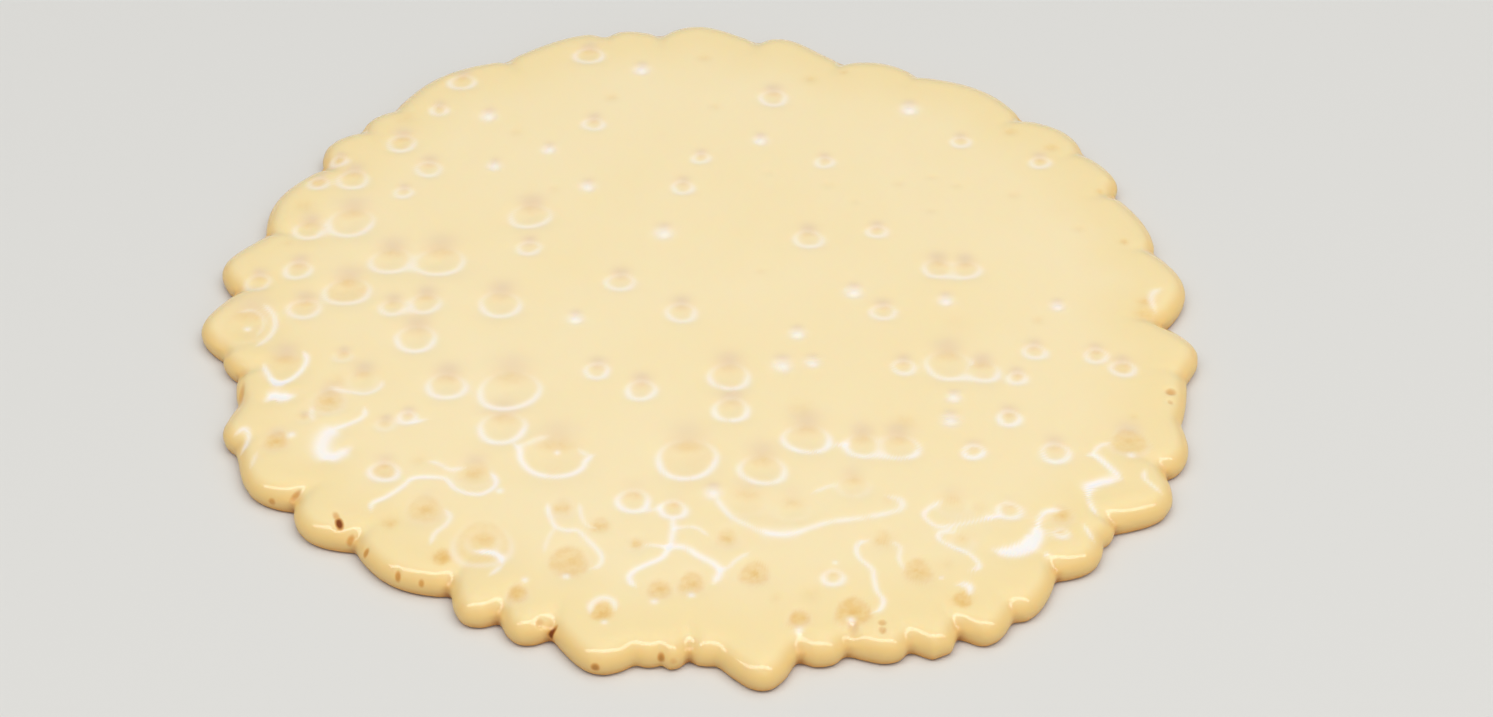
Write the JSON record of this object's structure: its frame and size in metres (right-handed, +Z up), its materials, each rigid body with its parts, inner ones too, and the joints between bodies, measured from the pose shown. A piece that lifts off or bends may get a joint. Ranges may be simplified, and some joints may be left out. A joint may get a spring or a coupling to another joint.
{
  "type": "pancake",
  "caption": "Round pancake fresh in the cooking: flat pale batter disc with a lobed, bulging rim and a glossy wet top pitted by risen bubbles.",
  "frame": {"origin": "centre of the flat underside, at the middle of the outline's width and depth", "axes": "+Z up out of the wet top, +X to the right of the front, +Y away from the front"},
  "size_m": [0.14, 0.1402, 0.004],
  "materials": {
    "batter": "wet pale batter, glossy on top"
  },
  "bodies": {
    "root": {"pancake": "batter"}
  },
  "joints": []
}
